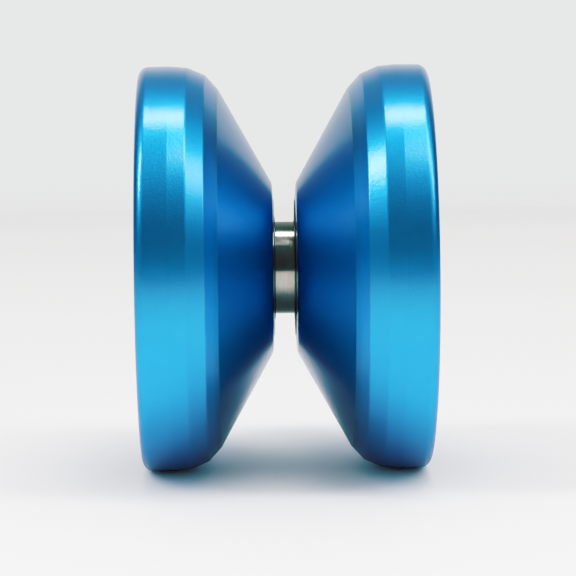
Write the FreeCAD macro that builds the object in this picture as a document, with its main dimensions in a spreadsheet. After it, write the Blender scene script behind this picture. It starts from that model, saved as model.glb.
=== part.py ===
# Unresponsive ball-bearing yo-yo, built as the real one comes apart on a bench:
# two identical turned aluminium halves, an M4 threaded stud that pulls them
# together, a 1/4 x 1/2 x 3/16 inch ball bearing clamped between their posts,
# and a silicone response ring in the wall of each half.
#
# Frame: the origin is the middle of the string gap on the spin axis, +X runs
# along the axle towards the right half, +Z is up. Millimetres.

import FreeCAD, Part
import math
import os

import Sketcher

V = FreeCAD.Vector
doc = FreeCAD.newDocument("yoyo")

# ---------------------------------------------------------------- dimensions
sheet = doc.addObject("Spreadsheet::Sheet", "dims")
rows = [
    # outer form of one half, axial position (x_) and radius (rad_) of each corner
    ("x_face", 19.75, "outer face of the rim"),
    ("x_edge", 18.40, "where the rim's flat meets its rounded outer edge"),
    ("rad_edge", 27.85, ""),
    ("x_crown", 15.44, "crown of the rim, the largest radius"),
    ("rad_crown", 27.90, ""),
    ("x_land", 13.08, "end of the gently tapered land"),
    ("rad_land", 27.69, ""),
    ("x_step", 10.70, "end of the first bevel"),
    ("rad_step", 26.67, ""),
    ("x_shoulder", 8.945, "end of the second bevel, start of the long cone"),
    ("rad_shoulder", 24.75, ""),
    ("x_lip", 1.646, "where the cone meets the gap wall"),
    ("rad_lip", 11.68, ""),
    ("x_seat", 1.28, "gap wall where it meets the bearing seat"),
    ("rad_face_out", 26.50, "outer radius of the flat on the rim's face"),
    ("rad_face_in", 25.30, "inner radius of the flat on the rim's face"),
    # cup in the outer side
    ("x_mouth", 19.15, "bottom of the round at the cup's mouth"),
    ("rad_mouth", 24.70, ""),
    ("x_ledge", 17.30, "ledge inside the mouth"),
    ("rad_ledge", 24.50, ""),
    ("rad_ledge_in", 23.95, ""),
    ("x_ledge_in", 17.00, ""),
    ("x_cup", 11.95, "bottom of the rim's inner wall"),
    ("rad_cup", 23.25, ""),
    ("x_cup_cone", 10.15, "top of the cup's conical floor"),
    ("rad_cup_cone", 22.30, ""),
    ("x_cup_ring", 4.90, "foot of the cup's conical floor"),
    ("rad_cup_ring", 12.60, ""),
    ("x_floor", 4.25, "flat floor round the hub"),
    ("rad_floor_out", 10.60, ""),
    ("rad_floor_in", 7.20, ""),
    ("x_hub_foot", 5.20, ""),
    ("rad_hub_foot", 6.30, ""),
    ("x_hub_neck", 11.20, ""),
    ("rad_hub_neck", 5.75, ""),
    ("x_hub_top", 12.00, "flat end of the hub"),
    ("rad_hub_top", 4.95, ""),
    ("rad_dimple", 2.60, "shallow dimple in the end of the hub"),
    ("x_dimple", 11.55, ""),
    # rounding radii of the turned corners
    ("round_rim", 1.35, "outer edge of the rim"),
    ("round_mouth", 0.50, "mouth of the cup"),
    ("round_lip", 2.00, "between cone and gap wall"),
    ("round_cup", 1.20, "foot of the rim inside the cup"),
    ("round_floor", 1.50, "round the flat floor of the cup"),
    ("round_hub_foot", 0.60, ""),
    ("round_hub_top", 0.50, ""),
    ("round_bevels", 0.15, "edges between the rim's bevels"),
    # bearing seat, post and threaded hole
    ("x_shelf", 2.3813, "shelf that the inner race is clamped on"),
    ("rad_shelf", 3.90, ""),
    ("x_well", 2.72, "floor of the clearance well round the shelf"),
    ("rad_well", 6.62, ""),
    ("x_post", 0.20, "end of the post that carries the inner race"),
    ("rad_post", 3.158, ""),
    ("post_bevel", 0.25, ""),
    ("rad_tap", 2.03, "threaded hole, at its major radius"),
    ("tap_bevel", 0.30, ""),
    ("x_tap_end", 8.70, ""),
    ("x_tap_tip", 9.70, ""),
    # response ring and its groove
    ("pad_rad_in", 7.20, ""),
    ("pad_rad_out", 9.50, ""),
    ("pad_gap", 0.04, "gap round the ring in its groove"),
    ("pad_thick", 1.00, ""),
    ("x_pad_face", 1.44, "gap-side face of the ring"),
    # stud
    ("stud_half", 8.00, "half of the stud's length"),
    ("stud_rad", 1.97, "thread crest"),
    ("thread_pitch", 0.70, ""),
    ("thread_turns", 24.85, "turns of the cutting helix, past both ends"),
    ("thread_root", 1.57, ""),
    ("thread_over", 2.05, "outer side of the thread's cutting section"),
    ("thread_half", 0.372, "half width of the section there"),
    ("hex_apothem", 1.00, "2 mm hexagon socket"),
    ("hex_corner", 1.1547, ""),
    ("hex_side", 0.57735, "half of one side"),
    ("hex_depth", 2.00, ""),
    ("stud_bevel", 0.45, ""),
    # bearing
    ("half_width", 2.3813, "half of 3/16 inch"),
    ("race_rad", 6.35, "half of 1/2 inch"),
    ("bore_rad", 3.175, "half of 1/4 inch"),
    ("pitch_rad", 4.7625, "circle of the ball centres"),
    ("ball_rad", 0.79375, "1/16 inch balls"),
    ("ball_count", 10, ""),
    ("groove_rad", 0.835, "section radius of both raceways"),
    ("ball_play", 0.012, "clearance from a ball to each raceway"),
    ("inner_land", 4.22, "outer radius of the inner race's lands"),
    ("outer_land", 5.28, "bore of the outer race's lands"),
    ("x_shield_seat", 1.82, "step in the outer race that the shield rests on"),
    ("shield_seat_rad", 5.72, ""),
    ("shield_thick", 0.18, ""),
    ("shield_rad_in", 4.03, ""),
    ("inner_step_rad", 3.86, "lowered land of the inner race under the shield"),
    ("x_inner_step", 1.62, ""),
    ("clip_rad_in", 5.36, ""),
    ("clip_rad_out", 5.90, ""),
    ("clip_thick", 0.26, ""),
    ("clip_groove_rad", 5.93, ""),
    ("clip_open", 22.0, "opening of the snap ring, in degrees"),
    ("race_bevel", 0.22, "rounding of the outer race's corners"),
    ("bore_bevel", 0.15, "rounding of the inner race's bore"),
    ("pad_bevel", 0.12, "rounding of the response ring's edges"),
    ("cage_rad_in", 4.40, ""),
    ("cage_rad_out", 5.10, ""),
    ("cage_back", 1.12, "closed side of the crown cage"),
    ("cage_front", 0.36, "how far its fingers pass the ball centres"),
    ("pocket_rad", 0.835, ""),
]
for i, (alias, value, note) in enumerate(rows, start=1):
    sheet.set("A%d" % i, alias)
    sheet.set("B%d" % i, str(value))
    if note:
        sheet.set("C%d" % i, note)
    sheet.setAlias("B%d" % i, alias)
doc.recompute()
D = {alias: value for alias, value, note in rows}
parts = []


def role_plane(body, role):
    for f in body.Origin.OriginFeatures:
        if f.Role == role:
            return f
    raise RuntimeError("no origin feature " + role)


def new_body(name):
    body = doc.addObject("PartDesign::Body", name)
    body.Label = name
    doc.recompute()
    return body


def new_sketch(body, name, role="XY_Plane"):
    sk = body.newObject("Sketcher::SketchObject", name)
    sk.AttachmentSupport = [(role_plane(body, role), "")]
    sk.MapMode = "FlatFace"
    return sk


def size_of(text):
    """Value of a sum or difference of sheet aliases and plain numbers."""
    total, sign = 0.0, 1.0
    for token in text.replace("-", " - ").replace("+", " + ").split():
        if token == "-":
            sign = -1.0
        elif token == "+":
            sign = 1.0
        else:
            total += sign * (D[token[5:]] if token.startswith("dims.") else float(token))
            sign = 1.0
    return total


def polygon(sk, corners):
    """Closed polygon whose corners are bound to the sheet: [(x expression, y expression), ...]."""
    pts = [V(size_of(a), size_of(b), 0) for a, b in corners]
    n = len(pts)
    for i in range(n):
        sk.addGeometry(Part.LineSegment(pts[i], pts[(i + 1) % n]), False)
    for i in range(n):
        sk.addConstraint(Sketcher.Constraint("Coincident", i, 2, (i + 1) % n, 1))
    for i, (a, b) in enumerate(corners):
        for kind, text, value in (("DistanceX", a, pts[i].x), ("DistanceY", b, pts[i].y)):
            if abs(value) < 1e-9:
                # a corner on an axis
                c = Sketcher.Constraint("PointOnObject", i, 1, -2 if kind == "DistanceX" else -1)
                sk.addConstraint(c)
                continue
            if value > 0:
                k = sk.addConstraint(Sketcher.Constraint(kind, -1, 1, i, 1, value))
                sk.setExpression("Constraints[%d]" % k, text)
            else:
                k = sk.addConstraint(Sketcher.Constraint(kind, i, 1, -1, 1, -value))
                sk.setExpression("Constraints[%d]" % k, "-(%s)" % text)


def revolve(body, sk, kind="PartDesign::Revolution", angle=360.0, name="turning"):
    rev = body.newObject(kind, name)
    rev.Profile = (sk, [""])
    rev.ReferenceAxis = (sk, ["H_Axis"])
    rev.Angle = angle
    doc.recompute()
    return rev


def ring_edges(shape, wanted, tol=0.02):
    """Names of the circular edges about X at each wanted (x, radius)."""
    names = []
    for x, r in wanted:
        hit = None
        for i, e in enumerate(shape.Edges, start=1):
            if e.Curve.TypeId != "Part::GeomCircle":
                continue
            c = e.Curve.Center
            if abs(c.x - x) < tol and abs(e.Curve.Radius - r) < tol and math.hypot(c.y, c.z) < tol:
                hit = "Edge%d" % i
        if hit is None:
            raise RuntimeError("no ring edge at x %.3f radius %.3f" % (x, r))
        names.append(hit)
    return names


def fillet(body, base, wanted, alias, name="round"):
    f = body.newObject("PartDesign::Fillet", name)
    f.Base = (base, ring_edges(base.Shape, wanted))
    f.Radius = D[alias]
    f.setExpression("Radius", "dims." + alias)
    doc.recompute()
    body.Tip = f
    return f


# ------------------------------------------------------------------- halves
# Section of a half, axial position along x and radius along y, listed from
# the stud's hole out along the gap wall, up the cone, over the rim and back
# down the cup to the hub.
half_section = [
    ("dims.x_tap_tip", "0"),
    ("dims.x_tap_end", "dims.rad_tap"),
    ("dims.x_post + dims.tap_bevel", "dims.rad_tap"),
    ("dims.x_post", "dims.rad_tap + dims.tap_bevel"),
    ("dims.x_post", "dims.rad_post - dims.post_bevel"),
    ("dims.x_post + dims.post_bevel", "dims.rad_post"),
    ("dims.x_shelf", "dims.rad_post"),
    ("dims.x_shelf", "dims.rad_shelf"),
    ("dims.x_well", "dims.rad_shelf"),
    ("dims.x_well", "dims.rad_well"),
    ("dims.x_seat", "dims.rad_well"),
    ("dims.x_seat + 0.03", "dims.pad_rad_in - dims.pad_gap"),
    ("dims.x_pad_face + dims.pad_thick", "dims.pad_rad_in - dims.pad_gap"),
    ("dims.x_pad_face + dims.pad_thick", "dims.pad_rad_out + dims.pad_gap"),
    ("dims.x_lip - 0.155", "dims.pad_rad_out + dims.pad_gap"),
    ("dims.x_lip", "dims.rad_lip"),
    ("dims.x_shoulder", "dims.rad_shoulder"),
    ("dims.x_step", "dims.rad_step"),
    ("dims.x_land", "dims.rad_land"),
    ("dims.x_crown", "dims.rad_crown"),
    ("dims.x_face", "dims.rad_edge"),
    ("dims.x_face", "dims.rad_face_in - 0.60"),
    ("dims.x_ledge", "dims.rad_ledge"),
    ("dims.x_ledge_in", "dims.rad_ledge_in"),
    ("dims.x_cup", "dims.rad_cup"),
    ("dims.x_cup_cone", "dims.rad_cup_cone"),
    ("dims.x_cup_ring", "dims.rad_cup_ring"),
    ("dims.x_floor", "dims.rad_floor_out"),
    ("dims.x_floor", "dims.rad_floor_in"),
    ("dims.x_hub_foot", "dims.rad_hub_foot"),
    ("dims.x_hub_neck", "dims.rad_hub_neck"),
    ("dims.x_hub_top", "dims.rad_hub_top"),
    ("dims.x_hub_top", "dims.rad_dimple"),
    ("dims.x_dimple", "0"),
]


def make_half(name, turn):
    body = new_body(name)
    sk = new_sketch(body, name + "_section")
    polygon(sk, half_section)
    turned = revolve(body, sk)
    x = D["x_face"]
    last = fillet(body, turned, [(x, D["rad_edge"])], "round_rim", "rim_edge")
    last = fillet(body, last, [(x, D["rad_face_in"] - 0.60)], "round_mouth", "cup_mouth")
    last = fillet(body, last, [(D["x_lip"], D["rad_lip"])], "round_lip", "lip")
    last = fillet(body, last, [(D["x_cup"], D["rad_cup"]), (D["x_cup_cone"], D["rad_cup_cone"])], "round_cup", "cup_corner")
    last = fillet(body, last, [(D["x_cup_ring"], D["rad_cup_ring"]), (D["x_floor"], D["rad_floor_out"])], "round_floor", "floor_corner")
    last = fillet(body, last, [(D["x_floor"], D["rad_floor_in"]), (D["x_hub_foot"], D["rad_hub_foot"])], "round_hub_foot", "hub_foot")
    last = fillet(body, last, [(D["x_hub_neck"], D["rad_hub_neck"]), (D["x_hub_top"], D["rad_hub_top"])], "round_hub_top", "hub_top")
    last = fillet(body, last, [
        (D["x_land"], D["rad_land"]),
        (D["x_step"], D["rad_step"]),
        (D["x_shoulder"], D["rad_shoulder"]),
    ], "round_bevels", "bevel_edges")
    # The two halves are the same turned part; the left one faces the other way.
    body.Placement = FreeCAD.Placement(V(0, 0, 0), FreeCAD.Rotation(V(0, 0, 1), turn))
    doc.recompute()
    parts.append(body)
    return body


make_half("right_half", 0)
make_half("left_half", 180)


# ------------------------------------------------------------ response rings
def make_pad(name, turn):
    body = new_body(name)
    sk = new_sketch(body, name + "_section")
    polygon(sk, [
        ("dims.x_pad_face", "dims.pad_rad_in"),
        ("dims.x_pad_face", "dims.pad_rad_out"),
        ("dims.x_pad_face + dims.pad_thick", "dims.pad_rad_out"),
        ("dims.x_pad_face + dims.pad_thick", "dims.pad_rad_in"),
    ])
    ring = revolve(body, sk)
    fillet(body, ring, [(D["x_pad_face"], D["pad_rad_in"]), (D["x_pad_face"], D["pad_rad_out"])], "pad_bevel", "soft_edge")
    body.Placement = FreeCAD.Placement(V(0, 0, 0), FreeCAD.Rotation(V(0, 0, 1), turn))
    doc.recompute()
    parts.append(body)


make_pad("right_response_pad", 0)
make_pad("left_response_pad", 180)

# ---------------------------------------------------------------------- stud
stud = new_body("axle_screw")
sk = new_sketch(stud, "stud_section")
polygon(sk, [
    ("-dims.stud_half", "0"),
    ("-dims.stud_half", "dims.stud_rad - dims.stud_bevel"),
    ("-dims.stud_half + dims.stud_bevel", "dims.stud_rad"),
    ("dims.stud_half - dims.stud_bevel", "dims.stud_rad"),
    ("dims.stud_half", "dims.stud_rad - dims.stud_bevel"),
    ("dims.stud_half", "0"),
])
blank = revolve(stud, sk)
# vee thread: a triangular section swept along a helix about the stud's axis,
# from one pitch outside the left end to past the right end
tool = new_sketch(stud, "thread_section")
polygon(tool, [
    ("-dims.stud_half - dims.thread_pitch - dims.thread_half", "dims.thread_over"),
    ("-dims.stud_half - dims.thread_pitch + dims.thread_half", "dims.thread_over"),
    ("-dims.stud_half - dims.thread_pitch", "dims.thread_root"),
])
doc.recompute()
helix = stud.newObject("PartDesign::SubtractiveHelix", "thread")
helix.Profile = (tool, [""])
helix.ReferenceAxis = (tool, ["H_Axis"])
helix.Mode = 0
helix.Pitch = D["thread_pitch"]
helix.setExpression("Pitch", "dims.thread_pitch")
helix.Height = D["thread_pitch"] * D["thread_turns"]
helix.setExpression("Height", "dims.thread_pitch * dims.thread_turns")
helix.Angle = 0
helix.Growth = 0
helix.LeftHanded = False
helix.Reversed = False
doc.recompute()
print("stud volume blank", round(blank.Shape.Volume, 2), "threaded", round(helix.Shape.Volume, 2), helix.State)
# hexagon socket in the right-hand end
socket = new_sketch(stud, "socket_section", "YZ_Plane")
polygon(socket, [
    ("dims.hex_corner", "0"),
    ("dims.hex_side", "dims.hex_apothem"),
    ("-dims.hex_side", "dims.hex_apothem"),
    ("-dims.hex_corner", "0"),
    ("-dims.hex_side", "-dims.hex_apothem"),
    ("dims.hex_side", "-dims.hex_apothem"),
])
socket.AttachmentOffset = FreeCAD.Placement(V(0, 0, D["stud_half"]), FreeCAD.Rotation())
socket.setExpression("AttachmentOffset.Base.z", "dims.stud_half")
doc.recompute()
before = stud.Shape.Volume
pocket = stud.newObject("PartDesign::Pocket", "hex_socket")
pocket.Profile = (socket, [""])
pocket.Length = D["hex_depth"]
pocket.setExpression("Length", "dims.hex_depth")
pocket.Reversed = False
doc.recompute()
print("socket takes", round(before - stud.Shape.Volume, 3), "mm3")
parts.append(stud)


# ------------------------------------------------------------------- bearing
def cut_raceway(body, name):
    sk = new_sketch(body, name)
    circle = sk.addGeometry(Part.Circle(V(0, D["pitch_rad"], 0), V(0, 0, 1), D["groove_rad"]), False)
    sk.addConstraint(Sketcher.Constraint("PointOnObject", circle, 3, -2))
    k = sk.addConstraint(Sketcher.Constraint("DistanceY", -1, 1, circle, 3, D["pitch_rad"]))
    k2 = sk.addConstraint(Sketcher.Constraint("Radius", circle, D["groove_rad"]))
    sk.setExpression("Constraints[%d]" % k2, "dims.groove_rad")
    return sk, k


# The raceway's section circle is offset from the ball's, so that ball and
# groove stand ball_play apart at the groove's bottom.
outer = new_body("outer_race")
sk = new_sketch(outer, "outer_section")
polygon(sk, [
    ("-dims.half_width", "dims.race_rad"),
    ("dims.half_width", "dims.race_rad"),
    ("dims.half_width", "dims.shield_seat_rad"),
    ("dims.x_shield_seat + dims.shield_thick + 0.30", "dims.shield_seat_rad"),
    ("dims.x_shield_seat + dims.shield_thick + 0.30", "dims.clip_groove_rad"),
    ("dims.x_shield_seat + dims.shield_thick", "dims.clip_groove_rad"),
    ("dims.x_shield_seat + dims.shield_thick", "dims.shield_seat_rad"),
    ("dims.x_shield_seat", "dims.shield_seat_rad"),
    ("dims.x_shield_seat", "dims.outer_land"),
    ("-dims.x_shield_seat", "dims.outer_land"),
    ("-dims.x_shield_seat", "dims.shield_seat_rad"),
    ("-dims.x_shield_seat - dims.shield_thick", "dims.shield_seat_rad"),
    ("-dims.x_shield_seat - dims.shield_thick", "dims.clip_groove_rad"),
    ("-dims.x_shield_seat - dims.shield_thick - 0.30", "dims.clip_groove_rad"),
    ("-dims.x_shield_seat - dims.shield_thick - 0.30", "dims.shield_seat_rad"),
    ("-dims.half_width", "dims.shield_seat_rad"),
])
ring = revolve(outer, sk)
sk, k = cut_raceway(outer, "outer_raceway")
sk.setExpression("Constraints[%d]" % k, "dims.pitch_rad + dims.ball_rad + dims.ball_play - dims.groove_rad")
doc.recompute()
before = ring.Shape.Volume
groove = revolve(outer, sk, "PartDesign::Groove", name="raceway")
print("outer raceway takes", round(before - outer.Shape.Volume, 3), "mm3")
fillet(outer, groove, [(-D["half_width"], D["race_rad"]), (D["half_width"], D["race_rad"])], "race_bevel", "corner")
parts.append(outer)

inner = new_body("inner_race")
sk = new_sketch(inner, "inner_section")
polygon(sk, [
    ("-dims.half_width", "dims.bore_rad"),
    ("dims.half_width", "dims.bore_rad"),
    ("dims.half_width", "dims.inner_step_rad"),
    ("dims.x_inner_step", "dims.inner_step_rad"),
    ("dims.x_inner_step", "dims.inner_land"),
    ("-dims.x_inner_step", "dims.inner_land"),
    ("-dims.x_inner_step", "dims.inner_step_rad"),
    ("-dims.half_width", "dims.inner_step_rad"),
])
ring = revolve(inner, sk)
sk, k = cut_raceway(inner, "inner_raceway")
sk.setExpression("Constraints[%d]" % k, "dims.pitch_rad - dims.ball_rad - dims.ball_play + dims.groove_rad")
doc.recompute()
before = ring.Shape.Volume
groove = revolve(inner, sk, "PartDesign::Groove", name="raceway")
print("inner raceway takes", round(before - inner.Shape.Volume, 3), "mm3")
fillet(inner, groove, [(-D["half_width"], D["bore_rad"]), (D["half_width"], D["bore_rad"])], "bore_bevel", "corner")
parts.append(inner)

for k in range(int(D["ball_count"])):
    ball = doc.addObject("Part::Sphere", "ball_%02d" % (k + 1))
    ball.Label = "ball_%02d" % (k + 1)
    ball.setExpression("Radius", "dims.ball_rad")
    ball.setExpression("Placement.Base.y", "dims.pitch_rad * cos(%d deg * 360 / dims.ball_count)" % k)
    ball.setExpression("Placement.Base.z", "dims.pitch_rad * sin(%d deg * 360 / dims.ball_count)" % k)
    parts.append(ball)

# Crown cage: a turned ring, closed on the right-hand side, with one snap-in
# pocket for each ball.
cage = new_body("ball_cage")
sk = new_sketch(cage, "cage_section")
polygon(sk, [
    ("-dims.cage_front", "dims.cage_rad_in"),
    ("-dims.cage_front", "dims.cage_rad_out"),
    ("dims.cage_back", "dims.cage_rad_out"),
    ("dims.cage_back", "dims.cage_rad_in"),
])
ring = revolve(cage, sk)
before = ring.Shape.Volume
pocket = cage.newObject("PartDesign::SubtractiveSphere", "pocket")
pocket.Radius = D["pocket_rad"]
pocket.setExpression("Radius", "dims.pocket_rad")
pocket.AttachmentSupport = [(role_plane(cage, "XY_Plane"), "")]
pocket.MapMode = "FlatFace"
pocket.AttachmentOffset = FreeCAD.Placement(V(0, D["pitch_rad"], 0), FreeCAD.Rotation())
pocket.setExpression("AttachmentOffset.Base.y", "dims.pitch_rad")
doc.recompute()
print("one pocket takes", round(before - cage.Shape.Volume, 3), "mm3")
one = before - cage.Shape.Volume
pattern = cage.newObject("PartDesign::PolarPattern", "pockets")
pattern.Originals = [pocket]
pattern.Axis = (role_plane(cage, "X_Axis"), [""])
pattern.Angle = 360
pattern.Occurrences = int(D["ball_count"])
pattern.setExpression("Occurrences", "dims.ball_count")
cage.Tip = pattern
doc.recompute()
print("all pockets take", round(before - cage.Shape.Volume, 3), "mm3, expected", round(10 * one, 3))
parts.append(cage)


def make_shield(name, turn):
    body = new_body(name)
    sk = new_sketch(body, name + "_section")
    polygon(sk, [
        ("dims.x_shield_seat + 0.005", "dims.shield_seat_rad - 0.02"),
        ("dims.x_shield_seat + 0.005", "dims.shield_rad_in + 0.20"),
        ("dims.x_shield_seat - 0.060", "dims.shield_rad_in"),
        ("dims.x_shield_seat - 0.060 + 0.155", "dims.shield_rad_in"),
        ("dims.x_shield_seat + dims.shield_thick - 0.015", "dims.shield_rad_in + 0.20"),
        ("dims.x_shield_seat + dims.shield_thick - 0.015", "dims.shield_seat_rad - 0.02"),
    ])
    revolve(body, sk)
    body.Placement = FreeCAD.Placement(V(0, 0, 0), FreeCAD.Rotation(V(0, 0, 1), turn))
    doc.recompute()
    parts.append(body)


make_shield("right_shield", 0)
make_shield("left_shield", 180)


def make_clip(name, turn, roll):
    body = new_body(name)
    sk = new_sketch(body, name + "_section")
    polygon(sk, [
        ("dims.x_shield_seat + dims.shield_thick + 0.015", "dims.clip_rad_in"),
        ("dims.x_shield_seat + dims.shield_thick + 0.015", "dims.clip_rad_out"),
        ("dims.x_shield_seat + dims.shield_thick + 0.015 + dims.clip_thick", "dims.clip_rad_out"),
        ("dims.x_shield_seat + dims.shield_thick + 0.015 + dims.clip_thick", "dims.clip_rad_in"),
    ])
    ring = revolve(body, sk, angle=360.0 - D["clip_open"])
    ring.setExpression("Angle", "360 - dims.clip_open")
    doc.recompute()
    body.Placement = FreeCAD.Placement(V(0, 0, 0), FreeCAD.Rotation(V(0, 0, 1), turn) * FreeCAD.Rotation(V(1, 0, 0), roll))
    doc.recompute()
    parts.append(body)


# The two openings face opposite ways, so the outer race stays in balance.
make_clip("right_snap_ring", 0, 70)
make_clip("left_snap_ring", 180, 312)

# -------------------------------------------------------------------- output
doc.recompute()
for o in doc.Objects:
    if any(s in ("Invalid", "Error") for s in o.State):
        raise RuntimeError("object %s is %s" % (o.Name, o.State))
os.makedirs("parts", exist_ok=True)
for old in os.listdir("parts"):
    if old.endswith(".step"):
        os.remove(os.path.join("parts", old))
for o in parts:
    s = o.Shape
    if s.isNull() or not s.isValid():
        raise RuntimeError("sub-part %s has no valid shape" % o.Label)
for o in parts:
    s = o.Shape
    s.exportStep(os.path.join("parts", o.Label + ".step"))
    b = s.BoundBox
    print("%-20s %9.3f mm3  solids %d  x %.3f..%.3f  z %.3f..%.3f" % (o.Label, s.Volume, len(s.Solids), b.XMin, b.XMax, b.ZMin, b.ZMax))
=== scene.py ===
# Looks for the ball-bearing yo-yo. Metres, in the CAD frame: +X along the axle
# to the right half, +Y away from the camera, +Z up.
import math

import bpy
import numpy as np
from mathutils import Matrix, Vector


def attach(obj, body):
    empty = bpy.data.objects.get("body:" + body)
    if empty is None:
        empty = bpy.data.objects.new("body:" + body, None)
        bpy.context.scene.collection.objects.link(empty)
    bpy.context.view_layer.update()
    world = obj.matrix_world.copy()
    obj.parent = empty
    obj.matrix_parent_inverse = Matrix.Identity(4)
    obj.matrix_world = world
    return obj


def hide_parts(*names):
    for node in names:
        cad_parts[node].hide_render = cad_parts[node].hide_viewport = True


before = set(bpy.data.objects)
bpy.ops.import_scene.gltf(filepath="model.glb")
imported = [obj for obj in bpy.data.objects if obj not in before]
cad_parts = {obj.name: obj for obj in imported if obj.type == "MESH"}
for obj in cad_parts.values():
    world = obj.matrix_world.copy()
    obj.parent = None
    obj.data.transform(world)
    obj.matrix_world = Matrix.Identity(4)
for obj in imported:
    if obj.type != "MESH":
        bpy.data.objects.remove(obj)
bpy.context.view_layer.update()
MM = 0.001
FLOOR_Z = -0.0279


# ---------------------------------------------------------------- turned work
def outline(corners, closed=False):
    """Turns corners (x, radius, rounding) in mm into lines and arcs.

    Returns a list of runs, each a list of (x, radius, nx, nr), where the
    normal is the left-hand side of travel, so each corner is crisp or rounded
    exactly as given.
    """
    n = len(corners)
    pts = [np.array(c[:2], float) for c in corners]
    idx = range(n) if closed else range(1, n - 1)
    cut = {}
    for i in idx:
        rad = corners[i][2]
        if rad <= 0:
            continue
        a, b, c = pts[i - 1], pts[i], pts[(i + 1) % n]
        u, v = (a - b) / np.linalg.norm(a - b), (c - b) / np.linalg.norm(c - b)
        ang = math.acos(max(-1.0, min(1.0, float(u @ v))))
        d = rad / math.tan(ang / 2)
        p, q = b + u * d, b + v * d
        centre = b + (u + v) / np.linalg.norm(u + v) * rad / math.sin(ang / 2)
        cut[i] = (p, q, centre, math.pi - ang)
    runs = []
    count = n if closed else n - 1
    for i in range(count):
        j = (i + 1) % n
        a = cut[i][1] if i in cut else pts[i]
        b = cut[j][0] if j in cut else pts[j]
        t = b - a
        length = np.linalg.norm(t)
        if length > 1e-9:
            t = t / length
            runs.append([(a[0], a[1], -t[1], t[0]), (b[0], b[1], -t[1], t[0])])
        if j in cut:
            p, q, centre, turn = cut[j]
            steps = max(3, int(math.degrees(turn) / 6) + 1)
            r0, r1 = p - centre, q - centre
            a0, a1 = math.atan2(r0[1], r0[0]), math.atan2(r1[1], r1[0])
            da = (a1 - a0 + math.pi) % (2 * math.pi) - math.pi
            rad = np.linalg.norm(r0)
            t_in = b - a
            left = np.array([-t_in[1], t_in[0]]) / max(np.linalg.norm(t_in), 1e-12)
            side = 1.0 if float(left @ r0) > 0 else -1.0
            arc = []
            for k in range(steps + 1):
                w = a0 + da * k / steps
                e = np.array([math.cos(w), math.sin(w)])
                arc.append((centre[0] + rad * e[0], centre[1] + rad * e[1], side * e[0], side * e[1]))
            runs.append(arc)
    return runs


def lathe(name, corners, segments, closed=False, turned=False):
    """A turned solid about X, with exact surface normals. turned faces it the other way."""
    runs = outline(corners, closed)
    verts, faces, norms = [], [], []
    ring_of = {}
    cs = [(math.cos(2 * math.pi * k / segments), math.sin(2 * math.pi * k / segments)) for k in range(segments)]

    def ring(x, r):
        key = (round(x, 6), round(r, 6))
        if key not in ring_of:
            start = len(verts)
            if r < 1e-7:
                verts.append((x * MM, 0.0, 0.0))
                ring_of[key] = (start, 1)
            else:
                verts.extend((x * MM, r * MM * c, r * MM * s) for c, s in cs)
                ring_of[key] = (start, segments)
        return ring_of[key]

    for run in runs:
        for (x0, r0, nx0, nr0), (x1, r1, nx1, nr1) in zip(run, run[1:]):
            a, na = ring(x0, r0)
            b, nb = ring(x1, r1)
            for k in range(segments):
                k2 = (k + 1) % segments
                c, s = cs[k]
                c2, s2 = cs[k2]
                if na == 1:
                    faces.append((a, b + k2, b + k))
                    norms.extend([(nx0, nr0 * c, nr0 * s), (nx1, nr1 * c2, nr1 * s2), (nx1, nr1 * c, nr1 * s)])
                elif nb == 1:
                    faces.append((a + k, a + k2, b))
                    norms.extend([(nx0, nr0 * c, nr0 * s), (nx0, nr0 * c2, nr0 * s2), (nx1, nr1 * c, nr1 * s)])
                else:
                    faces.append((a + k, a + k2, b + k2, b + k))
                    norms.extend([
                        (nx0, nr0 * c, nr0 * s), (nx0, nr0 * c2, nr0 * s2),
                        (nx1, nr1 * c2, nr1 * s2), (nx1, nr1 * c, nr1 * s),
                    ])
    if turned:  # half a turn about Z
        verts = [(-x, -y, z) for x, y, z in verts]
        norms = [(-x, -y, z) for x, y, z in norms]
    mesh = bpy.data.meshes.new(name)
    mesh.from_pydata(verts, [], faces)
    mesh.polygons.foreach_set("use_smooth", [True] * len(mesh.polygons))
    mesh.update()
    mesh.normals_split_custom_set([Vector(v).normalized() for v in norms])
    obj = bpy.data.objects.new(name, mesh)
    bpy.context.scene.collection.objects.link(obj)
    return obj


# ------------------------------------------------------------------ materials
def material(name):
    mat = bpy.data.materials.new(name)
    mat.use_nodes = True
    nt = mat.node_tree
    nt.nodes.clear()
    out = nt.nodes.new("ShaderNodeOutputMaterial")
    bsdf = nt.nodes.new("ShaderNodeBsdfPrincipled")
    nt.links.new(bsdf.outputs["BSDF"], out.inputs["Surface"])
    return mat, nt, bsdf


def node(nt, kind, inputs=None, **props):
    n = nt.nodes.new(kind)
    for k, v in props.items():
        setattr(n, k, v)
    for k, v in (inputs or {}).items():
        n.inputs[k].default_value = v
    return n


def ramp(nt, fac, stops, interpolation="LINEAR"):
    r = nt.nodes.new("ShaderNodeValToRGB")
    r.color_ramp.interpolation = interpolation
    el = r.color_ramp.elements
    while len(el) > len(stops):
        el.remove(el[-1])
    while len(el) < len(stops):
        el.new(1.0)
    for e, (pos, col) in zip(el, stops):
        e.position = pos
        e.color = col if len(col) == 4 else (*col, 1.0)
    nt.links.new(fac, r.inputs["Fac"])
    return r.outputs["Color"]


def map_range(nt, value, lo, hi, to_lo, to_hi):
    m = node(nt, "ShaderNodeMapRange", {"From Min": lo, "From Max": hi, "To Min": to_lo, "To Max": to_hi})
    nt.links.new(value, m.inputs["Value"])
    return m.outputs["Result"]


def noise(nt, vector, scale, detail=2.0, rough=0.5, distortion=0.0):
    n = node(nt, "ShaderNodeTexNoise", {"Scale": scale, "Detail": detail, "Roughness": rough, "Distortion": distortion})
    nt.links.new(vector, n.inputs["Vector"])
    return n.outputs["Fac"]


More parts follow.
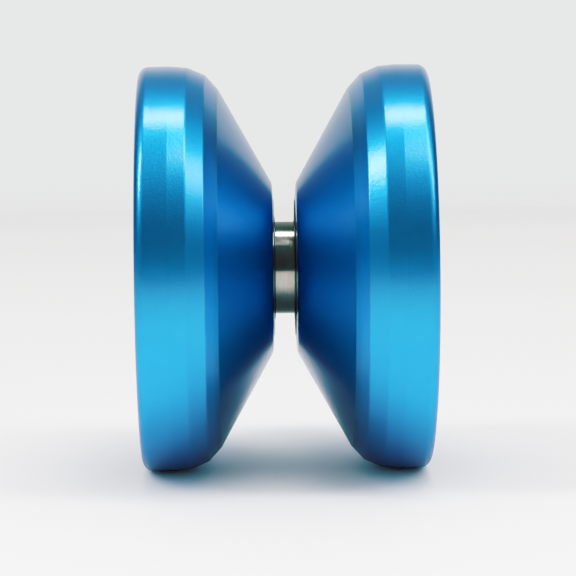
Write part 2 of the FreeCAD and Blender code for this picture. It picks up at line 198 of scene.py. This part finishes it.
def math_node(nt, op, a, b=None, clamp=False):
    m = node(nt, "ShaderNodeMath", operation=op, use_clamp=clamp)
    for i, v in enumerate((a, b)):
        if v is None:
            continue
        if isinstance(v, (int, float)):
            m.inputs[i].default_value = v
        else:
            nt.links.new(v, m.inputs[i])
    return m.outputs[0]


def turning_coords(nt):
    """(axial, radius, angle) of a point on turned work, from its object coordinates."""
    tc = nt.nodes.new("ShaderNodeTexCoord")
    sep = nt.nodes.new("ShaderNodeSeparateXYZ")
    nt.links.new(tc.outputs["Object"], sep.inputs[0])
    x, y, z = sep.outputs
    rad = math_node(nt, "SQRT", math_node(nt, "ADD", math_node(nt, "MULTIPLY", y, y), math_node(nt, "MULTIPLY", z, z)))
    ang = math_node(nt, "ARCTAN2", z, y)
    return tc.outputs["Object"], x, rad, ang


def combine(nt, x, y, z):
    c = nt.nodes.new("ShaderNodeCombineXYZ")
    for i, v in enumerate((x, y, z)):
        if isinstance(v, (int, float)):
            c.inputs[i].default_value = v
        else:
            nt.links.new(v, c.inputs[i])
    return c.outputs[0]


def bump(nt, bsdf, height, distance, strength=1.0, before=None):
    b = node(nt, "ShaderNodeBump", {"Strength": strength, "Distance": distance})
    nt.links.new(height, b.inputs["Height"])
    if before is not None:
        nt.links.new(before, b.inputs["Normal"])
    return b.outputs["Normal"]


def anodised():
    mat, nt, bsdf = material("blue_anodised")
    obj, x, rad, ang = turning_coords(nt)
    bsdf.inputs["Metallic"].default_value = 1.0
    bsdf.inputs["Specular Tint"].default_value = (0.02, 0.12, 0.30, 1.0)
    bsdf.inputs["Coat Weight"].default_value = 1.0
    bsdf.inputs["Coat Roughness"].default_value = 0.187
    bsdf.inputs["Coat IOR"].default_value = 1.64
    # dye: one blue, a touch deeper and lighter over large soft patches
    cloud = noise(nt, obj, 90.0, 3.0, 0.55)
    grain = noise(nt, obj, 5200.0, 2.0, 0.6)
    both = math_node(nt, "ADD", math_node(nt, "MULTIPLY", cloud, 0.65), math_node(nt, "MULTIPLY", grain, 0.35))
    rim = ramp(nt, both, [(0.30, (0.003, 0.330, 0.780)), (0.70, (0.005, 0.380, 0.860))])
    # painted shade: a darker copy of the blue for the flank between the halves
    flank_painted_shade = ramp(nt, both, [(0.30, (0.002, 0.300, 0.610)), (0.70, (0.004, 0.345, 0.680))])
    # painted shade: the flank between the halves (a cone 1.79 mm of radius per mm of length) is painted a darker blue,
    # standing in for the shade that falls there
    line = math_node(nt, "ADD", math_node(nt, "MULTIPLY", math_node(nt, "ABSOLUTE", x), 1.7906), 0.0087326)
    off = math_node(nt, "ABSOLUTE", math_node(nt, "SUBTRACT", rad, line))
    dye_and_painted_shade = node(nt, "ShaderNodeMix", data_type="RGBA")
    nt.links.new(map_range(nt, off, 0.0002, 0.0006, 0.0, 1.0), dye_and_painted_shade.inputs["Factor"])
    nt.links.new(flank_painted_shade, dye_and_painted_shade.inputs[6])
    nt.links.new(rim, dye_and_painted_shade.inputs[7])
    # painted shade: the thin lip round the bearing seat is painted dark, standing in for the shade in the seat's recess
    painted_shade_lip = math_node(
        nt, "MULTIPLY",
        map_range(nt, math_node(nt, "ABSOLUTE", math_node(nt, "SUBTRACT", rad, 0.00689)), 0.00036, 0.00044, 1.0, 0.0),
        map_range(nt, math_node(nt, "ABSOLUTE", x), 0.0016, 0.0018, 1.0, 0.0),
    )
    seat_painted_shade = node(nt, "ShaderNodeMix", data_type="RGBA")
    nt.links.new(painted_shade_lip, seat_painted_shade.inputs["Factor"])
    nt.links.new(dye_and_painted_shade.outputs[2], seat_painted_shade.inputs[6])
    seat_painted_shade.inputs[7].default_value = (0.035, 0.050, 0.060, 1.0)
    nt.links.new(seat_painted_shade.outputs[2], bsdf.inputs["Base Color"])
    # bead blasting: fine random grain in gloss and in height
    rough = map_range(nt, grain, 0.30, 0.70, 0.37, 0.45)
    nt.links.new(rough, bsdf.inputs["Roughness"])
    blast = noise(nt, obj, 3300.0, 3.0, 0.7)
    n1 = bump(nt, bsdf, blast, 0.000026, 1.0)
    nt.links.new(n1, bsdf.inputs["Normal"])
    nt.links.new(bump(nt, bsdf, blast, 0.000016, 1.0), bsdf.inputs["Coat Normal"])
    return mat


def steel(name, colour, lo, hi, lines=9000.0, depth=0.0000010, axial=True, edge=1.0, dull=0.82):
    mat, nt, bsdf = material(name)
    obj, x, rad, ang = turning_coords(nt)
    bsdf.inputs["Metallic"].default_value = 1.0
    bsdf.inputs["Specular Tint"].default_value = (edge, edge, edge, 1.0)
    # grinding lines run round the axis: fine along x or the radius, long along the angle
    across = math_node(nt, "MULTIPLY", x if axial else rad, lines)
    along = math_node(nt, "MULTIPLY", ang, 1.5)
    n1 = node(nt, "ShaderNodeTexNoise", {"Scale": 1.0, "Detail": 4.0, "Roughness": 0.65})
    nt.links.new(combine(nt, across, along, 0.0), n1.inputs["Vector"])
    stain = noise(nt, obj, 420.0, 4.0, 0.6)
    mix = math_node(nt, "ADD", math_node(nt, "MULTIPLY", n1.outputs["Fac"], 0.5), math_node(nt, "MULTIPLY", stain, 0.5))
    col = ramp(nt, mix, [(0.35, tuple(c * dull for c in colour)), (0.65, colour)])
    nt.links.new(col, bsdf.inputs["Base Color"])
    nt.links.new(map_range(nt, mix, 0.3, 0.7, lo, hi), bsdf.inputs["Roughness"])
    nt.links.new(bump(nt, bsdf, n1.outputs["Fac"], depth, 1.0), bsdf.inputs["Normal"])
    return mat


def silicone():
    mat, nt, bsdf = material("grey_silicone")
    obj, x, rad, ang = turning_coords(nt)
    mottle = noise(nt, obj, 900.0, 3.0, 0.6)
    nt.links.new(ramp(nt, mottle, [(0.3, (0.020, 0.022, 0.024)), (0.7, (0.034, 0.036, 0.038))]), bsdf.inputs["Base Color"])
    nt.links.new(map_range(nt, mottle, 0.3, 0.7, 0.45, 0.6), bsdf.inputs["Roughness"])
    nt.links.new(bump(nt, bsdf, mottle, 0.000006, 0.6), bsdf.inputs["Normal"])
    return mat


blue = anodised()
ground_steel = steel("ground_steel", (0.50, 0.462, 0.415), 0.10, 0.22, 4600.0, 0.0000150, True, 0.45, 0.66)
ball_steel = steel("polished_steel", (0.72, 0.72, 0.73), 0.04, 0.10, 3000.0, 0.0000002)
shield_steel = steel("pressed_steel", (0.56, 0.56, 0.56), 0.22, 0.36, 7000.0, 0.0000010, False)
spring_steel = steel("spring_steel", (0.36, 0.36, 0.38), 0.25, 0.38, 9000.0, 0.0000010, False)
cage_steel = steel("cage_steel", (0.55, 0.52, 0.47), 0.25, 0.40, 6000.0, 0.0000012)
screw_steel = steel("screw_steel", (0.42, 0.42, 0.44), 0.24, 0.36, 5000.0, 0.0000010)
rubber = silicone()

# --------------------------------------------------------------------- pieces
HALF = [
    (9.70, 0.0, 0), (8.70, 2.03, 0), (0.50, 2.03, 0.05), (0.20, 2.33, 0.05), (0.20, 2.908, 0.06),
    (0.45, 3.158, 0.06), (2.3813, 3.158, 0), (2.3813, 3.90, 0), (2.72, 3.90, 0), (2.72, 6.62, 0.08),
    (1.28, 6.62, 0.07), (1.31, 7.16, 0.05), (2.44, 7.16, 0), (2.44, 9.54, 0), (1.491, 9.54, 0.05),
    (1.646, 11.68, 1.6), (8.945, 24.75, 0.8), (10.70, 26.67, 0.7), (13.08, 27.69, 1.3),
    (15.44, 27.90, 0.8), (19.75, 27.85, 1.35), (19.75, 24.70, 0.5), (17.30, 24.50, 0.10),
    (17.00, 23.95, 0.10), (11.95, 23.25, 1.2), (10.15, 22.30, 1.2), (4.90, 12.60, 1.5), (4.25, 10.60, 1.5),
    (4.25, 7.20, 0.6), (5.20, 6.30, 0.6), (11.20, 5.75, 0.35), (12.00, 4.95, 0.35), (12.00, 2.60, 0.10), (11.55, 0.0, 0),
]
for side, flip in (("right", False), ("left", True)):
    half = lathe(side + "_half_turned", HALF, 384, turned=flip)
    half.data.materials.append(blue)
    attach(half, side + "_half")
    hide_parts(side + "_half")
    pad = lathe(side + "_response_pad_moulded", [
        (1.44, 7.20, 0.15), (2.44, 7.20, 0), (2.44, 9.50, 0), (1.44, 9.50, 0.15),
    ][::-1], 256, closed=True, turned=flip)
    pad.data.materials.append(rubber)
    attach(pad, side + "_half")
    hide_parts(side + "_response_pad")

race = lathe("outer_race_ground", [
    (-2.3813, 6.35, 0.24), (2.3813, 6.35, 0.24), (2.3813, 5.72, 0.05), (2.30, 5.72, 0), (2.30, 5.93, 0), (2.00, 5.93, 0),
    (2.00, 5.72, 0), (1.82, 5.72, 0), (1.82, 5.28, 0.04), (0.47, 5.28, 0.04), (0.30, 5.50, 0.2), (-0.30, 5.50, 0.2),
    (-0.47, 5.28, 0.04), (-1.82, 5.28, 0.04), (-1.82, 5.72, 0), (-2.00, 5.72, 0), (-2.00, 5.93, 0), (-2.30, 5.93, 0),
    (-2.30, 5.72, 0), (-2.3813, 5.72, 0.05),
], 256, closed=True)
race.data.materials.append(ground_steel)
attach(race, "outer_race")
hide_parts("outer_race")

FINISH = {"axle_screw": screw_steel, "inner_race": ground_steel, "ball_cage": cage_steel}
for side in ("left", "right"):
    FINISH[side + "_shield"] = shield_steel
    FINISH[side + "_snap_ring"] = spring_steel
for k in range(1, 11):
    FINISH["ball_%02d" % k] = ball_steel
for name, mat in FINISH.items():
    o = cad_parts[name]
    o.data.materials.clear()
    o.data.materials.append(mat)

# ---------------------------------------------------------------------- stage
scene = bpy.context.scene


def stage_floor():
    mat, nt, bsdf = material("floor")
    out = nt.nodes["Material Output"] if "Material Output" in nt.nodes else [n for n in nt.nodes if n.type == "OUTPUT_MATERIAL"][0]
    tc = nt.nodes.new("ShaderNodeTexCoord")
    sep = nt.nodes.new("ShaderNodeSeparateXYZ")
    nt.links.new(tc.outputs["Object"], sep.inputs[0])
    x, y, z = sep.outputs
    rad = math_node(nt, "SQRT", math_node(nt, "ADD", math_node(nt, "MULTIPLY", x, x), math_node(nt, "MULTIPLY", y, y)))
    paper = noise(nt, tc.outputs["Object"], 1400.0, 3.0, 0.6)
    paper_and_light_pool = ramp(nt, paper, [(0.3, (0.905, 0.905, 0.912)), (0.7, (0.925, 0.925, 0.932))])
    # painted light: the sheet is painted lightest at its middle and a little greyer away from it, a painted pool of
    # light
    y2 = math_node(nt, "ADD", y, 0.030)
    away = math_node(nt, "SQRT", math_node(nt, "ADD", math_node(nt, "MULTIPLY", x, x), math_node(nt, "MULTIPLY", y2, y2)))
    painted_light_pool = ramp(nt, map_range(nt, away, 0.060, 0.374, 0.0, 1.0), [
        (0.0, (1.0, 1.0, 1.0)), (0.076, (0.965, 0.965, 0.965)), (0.146, (0.925, 0.925, 0.925)), (0.268, (0.897, 0.898, 0.899)),
        (0.41, (0.886, 0.887, 0.889)), (0.58, (0.875, 0.876, 0.878)), (0.715, (0.862, 0.864, 0.866)), (1.0, (0.845, 0.848, 0.851)),
    ])
    toned = node(nt, "ShaderNodeMix", {"Factor": 1.0}, data_type="RGBA", blend_type="MULTIPLY")
    nt.links.new(paper_and_light_pool, toned.inputs[6])
    nt.links.new(painted_light_pool, toned.inputs[7])
    paper_and_light_pool = toned.outputs[2]
    # painted shadow: close under the object the paper is painted darker for glossy rays only, so the metal sees a
    # deeper shadow than the camera does
    lp = nt.nodes.new("ShaderNodeLightPath")
    painted_shadow_near = math_node(nt, "MULTIPLY", map_range(nt, rad, 0.014, 0.034, 0.56, 0.0), lp.outputs["Is Glossy Ray"])
    shade = node(nt, "ShaderNodeMix", data_type="RGBA")
    nt.links.new(painted_shadow_near, shade.inputs["Factor"])
    nt.links.new(paper_and_light_pool, shade.inputs[6])
    shade.inputs[7].default_value = (0.02, 0.02, 0.02, 1)
    nt.links.new(shade.outputs[2], bsdf.inputs["Base Color"])
    bsdf.inputs["Roughness"].default_value = 0.75
    bsdf.inputs["Specular IOR Level"].default_value = 0.25
    nt.links.new(bump(nt, bsdf, paper, 0.00003, 0.25), bsdf.inputs["Normal"])
    clear = nt.nodes.new("ShaderNodeBsdfTransparent")
    fade = map_range(nt, rad, 0.38, 0.47, 0.0, 1.0)
    mix = nt.nodes.new("ShaderNodeMixShader")
    nt.links.new(fade, mix.inputs[0])
    nt.links.new(bsdf.outputs["BSDF"], mix.inputs[1])
    nt.links.new(clear.outputs["BSDF"], mix.inputs[2])
    nt.links.new(mix.outputs[0], out.inputs["Surface"])
    n = 96
    verts = [(0, 0, 0)] + [(0.48 * math.cos(2 * math.pi * k / n), 0.48 * math.sin(2 * math.pi * k / n), 0) for k in range(n)]
    faces = [(0, 1 + k, 1 + (k + 1) % n) for k in range(n)]
    mesh = bpy.data.meshes.new("floor")
    mesh.from_pydata(verts, [], faces)
    mesh.materials.append(mat)
    floor = bpy.data.objects.new("floor", mesh)
    floor.location = (0, 0, FLOOR_Z)
    scene.collection.objects.link(floor)


stage_floor()


def softbox(name, el, xt, height, width, roll, distance, radiance, matt=False):
    """An area light in the direction el degrees up from the front horizon and over
    the top, and xt degrees sideways. Height, width and roll are in degrees too.
    The matt ones light the paper, the others are seen in the metal."""
    def direction(e, t):
        e, t = math.radians(e), math.radians(t)
        return Vector((math.sin(t), -math.cos(t) * math.cos(e), math.cos(t) * math.sin(e)))
    d = direction(el, xt)
    light = bpy.data.lights.new(name, "AREA")
    light.shape = "RECTANGLE"
    light.size = 2 * distance * math.tan(math.radians(width) / 2)
    light.size_y = 2 * distance * math.tan(math.radians(height) / 2)
    light.energy = radiance * math.pi * light.size * light.size_y
    obj = bpy.data.objects.new(name, light)
    up = direction(el + 1, xt) - direction(el - 1, xt)
    up = (up - d * up.dot(d)).normalized()
    right = up.cross(d).normalized()
    c, s = math.cos(math.radians(roll)), math.sin(math.radians(roll))
    xaxis, yaxis = right * c + up * s, up * c - right * s
    obj.matrix_world = Matrix.Translation(d * distance) @ Matrix((xaxis, yaxis, d)).transposed().to_4x4()
    scene.collection.objects.link(obj)
    obj.visible_glossy = not matt
    obj.visible_diffuse = matt
    if not matt:
        # light that metal throws back on the paper is held down
        light.use_nodes = True
        lt = light.node_tree
        emit = [n for n in lt.nodes if n.type == "EMISSION"][0]
        path = lt.nodes.new("ShaderNodeLightPath")
        lt.links.new(map_range(lt, path.outputs["Diffuse Depth"], 0.0, 1.0, 1.0, 0.2), emit.inputs["Strength"])
    return obj


softbox("softbox_top", 98.4, 0.8, 12.4, 18.0, 0, 0.9, 5.4)
softbox("softbox_right_inner", 76.0, 15.0, 23.0, 18.0, -8, 0.9, 3.0)
softbox("softbox_right_outer", 68.0, 40.5, 18.0, 33.0, -14, 0.9, 2.6)
softbox("softbox_left", 71.0, -38.4, 12.0, 30.0, 20, 0.9, 6.4)
softbox("paper_top", 86.0, 0.8, 9.0, 18.0, 0, 0.9, 5.6, True)
softbox("paper_right_inner", 80.0, 15.0, 14.0, 18.0, -8, 0.9, 3.2, True)
softbox("paper_right_outer", 72.0, 40.5, 12.0, 33.0, -14, 0.9, 2.6, True)
softbox("paper_left", 75.0, -38.4, 10.0, 30.0, 20, 0.9, 5.0, True)

world = bpy.data.worlds.new("studio")
scene.world = world
world.use_nodes = True
nt = world.node_tree
nt.nodes.clear()
wout = nt.nodes.new("ShaderNodeOutputWorld")
tc = nt.nodes.new("ShaderNodeTexCoord")
sep = nt.nodes.new("ShaderNodeSeparateXYZ")
nt.links.new(tc.outputs["Generated"], sep.inputs[0])
# the room is dim, but for the pale sweep behind the object
dx, dy, dz = sep.outputs
flat = math_node(nt, "SQRT", math_node(nt, "ADD", math_node(nt, "MULTIPLY", dx, dx), math_node(nt, "MULTIPLY", dy, dy)))
sweep = math_node(
    nt, "MULTIPLY",
    map_range(nt, math_node(nt, "DIVIDE", dy, flat), 0.64, 0.86, 0.0, 1.0),
    map_range(nt, dz, 0.36, 0.86, 1.0, 0.0),
)
dim = ramp(nt, map_range(nt, dz, 0.0, 1.0, 0.0, 1.0), [
    (0.0, (0.032, 0.034, 0.037)), (0.5, (0.045, 0.047, 0.050)), (1.0, (0.085, 0.086, 0.088)),
])
front = node(nt, "ShaderNodeMix", data_type="RGBA")
nt.links.new(sweep, front.inputs["Factor"])
nt.links.new(dim, front.inputs[6])
front.inputs[7].default_value = (0.58, 0.58, 0.58, 1)
front = front.outputs[2]
room = nt.nodes.new("ShaderNodeBackground")
nt.links.new(front, room.inputs["Color"])
room.inputs["Strength"].default_value = 1.0
pale = nt.nodes.new("ShaderNodeBackground")
nt.links.new(ramp(nt, map_range(nt, dz, -0.08, 0.0, 0.0, 1.0), [
    (0.0, (0.566, 0.568, 0.568)), (0.16, (0.580, 0.591, 0.585)), (0.5, (0.589, 0.608, 0.598)),
]), pale.inputs["Color"])
lp = nt.nodes.new("ShaderNodeLightPath")
# soft fill that reaches matt surfaces only
fill = nt.nodes.new("ShaderNodeBackground")
nt.links.new(ramp(nt, map_range(nt, dz, 0.0, 1.0, 0.0, 1.0), [(0.0, (0.540, 0.514, 0.496)), (1.0, (0.495, 0.474, 0.460))]), fill.inputs["Color"])
both = nt.nodes.new("ShaderNodeAddShader")
nt.links.new(room.outputs[0], both.inputs[0])
nt.links.new(fill.outputs[0], both.inputs[1])
matt = nt.nodes.new("ShaderNodeMixShader")
nt.links.new(lp.outputs["Is Diffuse Ray"], matt.inputs[0])
nt.links.new(room.outputs[0], matt.inputs[1])
nt.links.new(both.outputs[0], matt.inputs[2])
mixw = nt.nodes.new("ShaderNodeMixShader")
nt.links.new(lp.outputs["Is Camera Ray"], mixw.inputs[0])
nt.links.new(matt.outputs[0], mixw.inputs[1])
nt.links.new(pale.outputs[0], mixw.inputs[2])
nt.links.new(mixw.outputs[0], wout.inputs["Surface"])

# the photograph's contrast: a plain camera response over the standard view
view = scene.view_settings
view.view_transform = "Standard"
view.use_curve_mapping = True
curves = view.curve_mapping.curves
for k in range(1, 24):
    t = (k / 24) ** 2
    curves[3].points.new(t, 1.362 * t ** 1.25 / (t ** 1.25 + 0.362))
    # deep colours keep little red
    w = min(1.0, max(0.0, (t - 0.005) / 0.070))
    curves[0].points.new(t, t - 0.043 * w * w * (3 - 2 * w) * max(0.0, 1 - t / 0.6) ** 2)
view.curve_mapping.update()

# --------------------------------------------------------------------- camera
cam_data = bpy.data.cameras.new("camera")
cam = bpy.data.objects.new("camera", cam_data)
scene.collection.objects.link(cam)
yaw, pitch, roll = 0.0143678, 0.1077738, 0.0100011
tx, ty, dist, focal = -0.48824, -2.84759, 366.9925, 2649.519
cy, sy, cp, sp, cr, sr = math.cos(yaw), math.sin(yaw), math.cos(pitch), math.sin(pitch), math.cos(roll), math.sin(roll)
Ry = Matrix(((cy, -sy, 0), (sy, cy, 0), (0, 0, 1)))
A = Matrix(((1, 0, 0), (0, 0, -1), (0, 1, 0)))
P = Matrix(((1, 0, 0), (0, cp, -sp), (0, sp, cp)))
Rr = Matrix(((cr, sr, 0), (-sr, cr, 0), (0, 0, 1)))
R = Rr @ P @ A @ Ry
eye = -(R.transposed() @ Vector((tx, ty, dist)))
axes = Matrix((R[0], -R[1], -R[2])).transposed()
cam.matrix_world = Matrix.Translation(eye * MM) @ axes.to_4x4()
cam_data.sensor_width = 36.0
cam_data.lens = focal / 576 * 36.0
cam_data.clip_start = 0.01
cam_data.clip_end = 10.0
cam_data.dof.use_dof = False
scene.camera = cam
